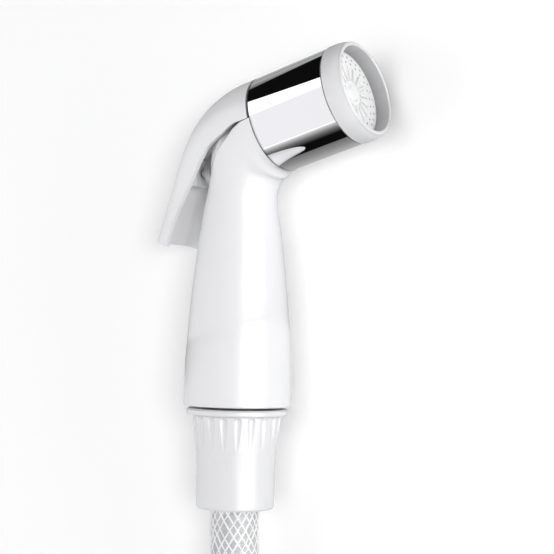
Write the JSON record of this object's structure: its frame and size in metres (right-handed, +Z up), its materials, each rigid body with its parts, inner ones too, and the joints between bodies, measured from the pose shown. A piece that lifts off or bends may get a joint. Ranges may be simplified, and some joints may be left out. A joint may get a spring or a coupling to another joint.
{
  "type": "handheld bidet shower",
  "caption": "Handheld bidet shower: white handset with a trigger lever over an elbowed head, chrome sleeve, spray face, hose nut and braided hose with a threaded end.",
  "frame": {"origin": "under the middle of the handset's box, on the surface that it lies on, without its hose", "axes": "+X is the way the spray goes across the handle, +Y runs up the handle from the hose to the head, +Z is up"},
  "size_m": [0.2279, 0.3898, 0.0403],
  "materials": {
    "white_plastic": "smooth glossy moulded white",
    "nut_plastic": "smooth moulded white",
    "chrome": "bright plated",
    "steel": "drawn",
    "brass": "turned",
    "rubber": "matte",
    "hose_braid": "silver grey and white braid under a clear glossy sheath"
  },
  "bodies": {
    "handset": {"handle_body": "white_plastic", "lever_pins": "steel", "head_sleeve": "chrome", "spray_ring": "white_plastic", "spray_plate": "white_plastic", "ring_seal": "rubber", "flow_disc": "white_plastic", "inlet_spigot": "steel", "inlet_strainer": "steel", "water_tube": "white_plastic", "tube_seals": "rubber", "valve_gland": "steel", "stem_seal": "rubber", "valve_spring": "steel", "hose_washer": "rubber", "hose_tail": "brass", "hose_ferrule": "steel", "hose_grip": "hose_braid", "hose": "hose_braid", "hose_coil": "hose_braid", "hose_end": "hose_braid", "wall_ferrule": "steel", "wall_grip": "hose_braid", "wall_tail": "brass", "wall_washer": "rubber"},
    "lever": {"lever": "white_plastic"},
    "valve": {"valve_stem": "steel", "valve_disc": "rubber"},
    "hose_nut": {"hose_nut": "nut_plastic"},
    "wall_nut": {"wall_nut": "chrome"}
  },
  "joints": [
    {"name": "lever_hinge", "type": "hinge", "parent": "handset", "child": "lever", "pos_m": [-0.00229, 0.05046, 0.01709], "axis": [0, 0, 1], "range_deg": [0, 10], "stiffness_Nm_per_rad": 0.15, "springref_deg": -17.19},
    {"name": "valve_slide", "type": "slide", "parent": "handset", "child": "valve", "axis": [1, 0, 0], "range_m": [0, 0.0027], "deforming": ["valve_spring"]},
    {"name": "hose_nut_spin", "type": "hinge", "parent": "handset", "child": "hose_nut", "pos_m": [-0.01025, -0.05468, 0.01709], "axis": [0, 1, 0], "continuous": true},
    {"name": "wall_nut_spin", "type": "hinge", "parent": "handset", "child": "wall_nut", "pos_m": [0.17885, -0.30568, 0.0288], "axis": [1, 0, 0], "continuous": true}
  ],
  "couplings": [
    {"joint": "valve_slide", "follows": "lever_hinge", "m_per_rad": 0.0145}
  ]
}
